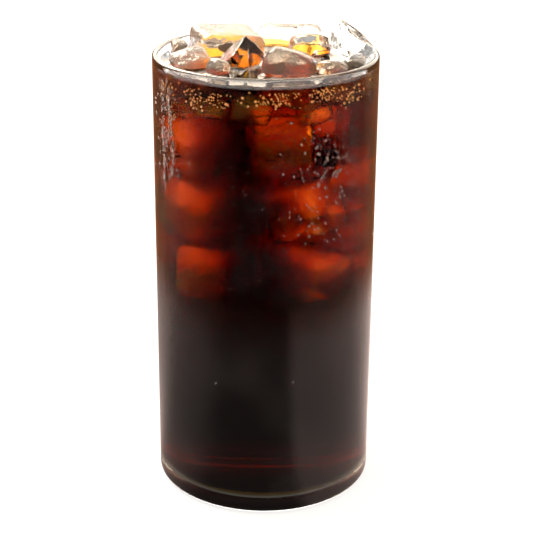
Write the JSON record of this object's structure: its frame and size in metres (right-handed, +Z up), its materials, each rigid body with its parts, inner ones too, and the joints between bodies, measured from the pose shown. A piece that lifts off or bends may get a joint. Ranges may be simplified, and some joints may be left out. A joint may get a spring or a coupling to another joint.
{
  "type": "iced cold brew coffee in a tall glass",
  "caption": "Tall straight clear tumbler filled almost to the brim with dark coffee, with loose ice blocks floating at the surface.",
  "frame": {"origin": "centre of the underside of the glass, on the plane it stands on", "axes": "+Z up along the axis of the glass; +X to the right and -Y towards the viewer of the chosen front; the tallest piece of ice stands at +X"},
  "size_m": [0.074, 0.074, 0.1604],
  "materials": {
    "glass": "clear smooth soda glass, fire-polished rim, faint film of condensation outside",
    "coffee": "still clear liquid, amber where thin and nearly black where deep",
    "ice": "wet melting ice, clear with cloudy cores"
  },
  "bodies": {
    "root": {"glass": "glass", "coffee": "coffee", "ice_back_left": "ice", "ice_back": "ice", "ice_right_back": "ice", "ice_right_corner": "ice", "ice_front_right": "ice", "ice_right_front": "ice", "ice_front_centre": "ice", "ice_centre": "ice", "ice_left_front": "ice", "ice_front_chip": "ice", "ice_left_chip": "ice"}
  },
  "joints": []
}
